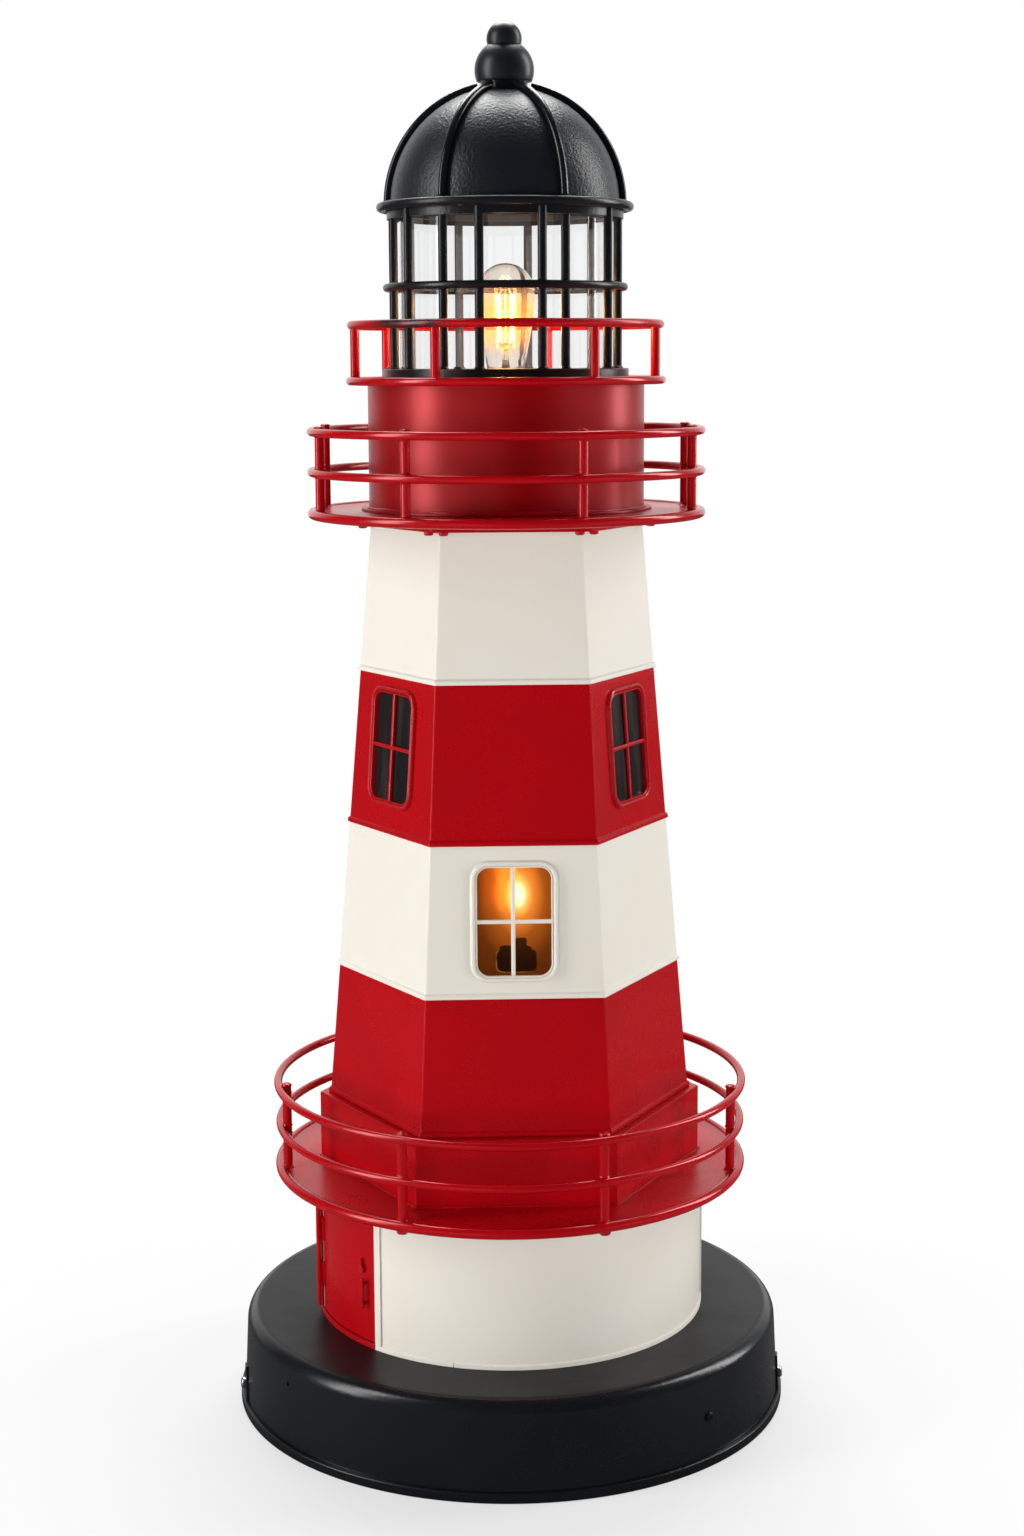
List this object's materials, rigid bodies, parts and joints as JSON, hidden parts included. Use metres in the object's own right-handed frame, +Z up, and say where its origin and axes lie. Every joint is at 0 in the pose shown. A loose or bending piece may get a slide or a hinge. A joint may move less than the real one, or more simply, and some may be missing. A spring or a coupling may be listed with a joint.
{
  "type": "garden lighthouse ornament",
  "caption": "Tall garden lighthouse ornament: hexagonal banded tower with railed galleries, a hinged door, lit windows and a glazed lantern under a lift-off dome.",
  "frame": {"origin": "on the floor under the tower axis", "axes": "+Z up along the tower axis, -Y towards the tower face with the lit window, +X to the right of someone looking at that face"},
  "size_m": [0.441, 0.441, 1.08],
  "materials": {
    "red_paint": "satin powder coat, dark red",
    "cream_paint": "satin powder coat, warm white",
    "black_paint": "satin black powder coat",
    "zinc_steel": "zinc plated",
    "clear_glass": "clear",
    "bulb_glass": "clear, blown",
    "amber_pane": "amber translucent sheet, lit from behind",
    "dark_pane": "smoked sheet",
    "filament": "glowing filament on a glass stem",
    "cap_metal": "rolled screw cap",
    "black_plastic": "moulded",
    "rubber": "moulded",
    "cable_jacket": "round cable jacket"
  },
  "bodies": {
    "tower": {"base_pan": "black_paint", "base_housing": "black_paint", "wall_screws": "black_paint", "lantern_flange": "black_paint", "flange_screws": "black_paint", "lantern_posts": "black_paint", "lantern_mid_ring": "black_paint", "lantern_head_band": "black_paint", "ear_screws": "zinc_steel", "lamp_bracket": "zinc_steel", "lamp_shelf": "zinc_steel", "cord_grommet": "rubber", "terminal_blocks": "black_plastic", "lampholders": "black_plastic", "lamp_cables": "cable_jacket", "lower_drum": "cream_paint", "door_jamb_strip": "cream_paint", "tower_band_2_white": "cream_paint", "tower_band_4_white": "cream_paint", "front_window_frame": "cream_paint", "door_frame": "red_paint", "hinge_leaf": "red_paint", "hinge_pin": "red_paint", "lower_deck": "red_paint", "lower_deck_rim": "red_paint", "lower_posts": "red_paint", "lower_mid_rail": "red_paint", "lower_top_rail": "red_paint", "lower_post_screws": "red_paint", "tower_plinth": "red_paint", "tower_band_1_red": "red_paint", "tower_band_3_red": "red_paint", "side_window_frames": "red_paint", "tower_cap": "red_paint", "cap_screws": "red_paint", "middle_deck": "red_paint", "middle_deck_rim": "red_paint", "middle_posts": "red_paint", "middle_mid_rail": "red_paint", "middle_top_rail": "red_paint", "upper_drum": "red_paint", "top_deck": "red_paint", "top_deck_rim": "red_paint", "top_posts": "red_paint", "top_rail": "red_paint", "front_window_pane": "amber_pane", "side_window_panes": "dark_pane", "lantern_glass": "clear_glass", "bulb_glasses": "bulb_glass", "bulb_caps": "cap_metal", "bulb_filaments": "filament"},
    "door": {"door_panel": "red_paint", "door_pull": "red_paint"},
    "latch": {"door_latch": "red_paint"},
    "roof": {"dome_shell": "black_paint", "dome_ring": "black_paint", "dome_ribs": "black_paint", "finial_cap": "black_paint", "finial_tip": "black_paint", "finial_fixings": "black_paint"}
  },
  "joints": [
    {"name": "door_swing", "type": "hinge", "parent": "tower", "child": "door", "pos_m": [-0.15431, -0.02945, 0.128], "axis": [0, 0, -1], "range_deg": [0, 100]},
    {"name": "latch_turn", "type": "hinge", "parent": "door", "child": "latch", "pos_m": [-0.1172, -0.09835, 0.138], "axis": [0.766, 0.6428, 0], "range_deg": [0, 90]},
    {"name": "roof_lift", "type": "slide", "parent": "tower", "child": "roof", "axis": [0, 0, 1], "range_m": [0, 0.12]}
  ]
}
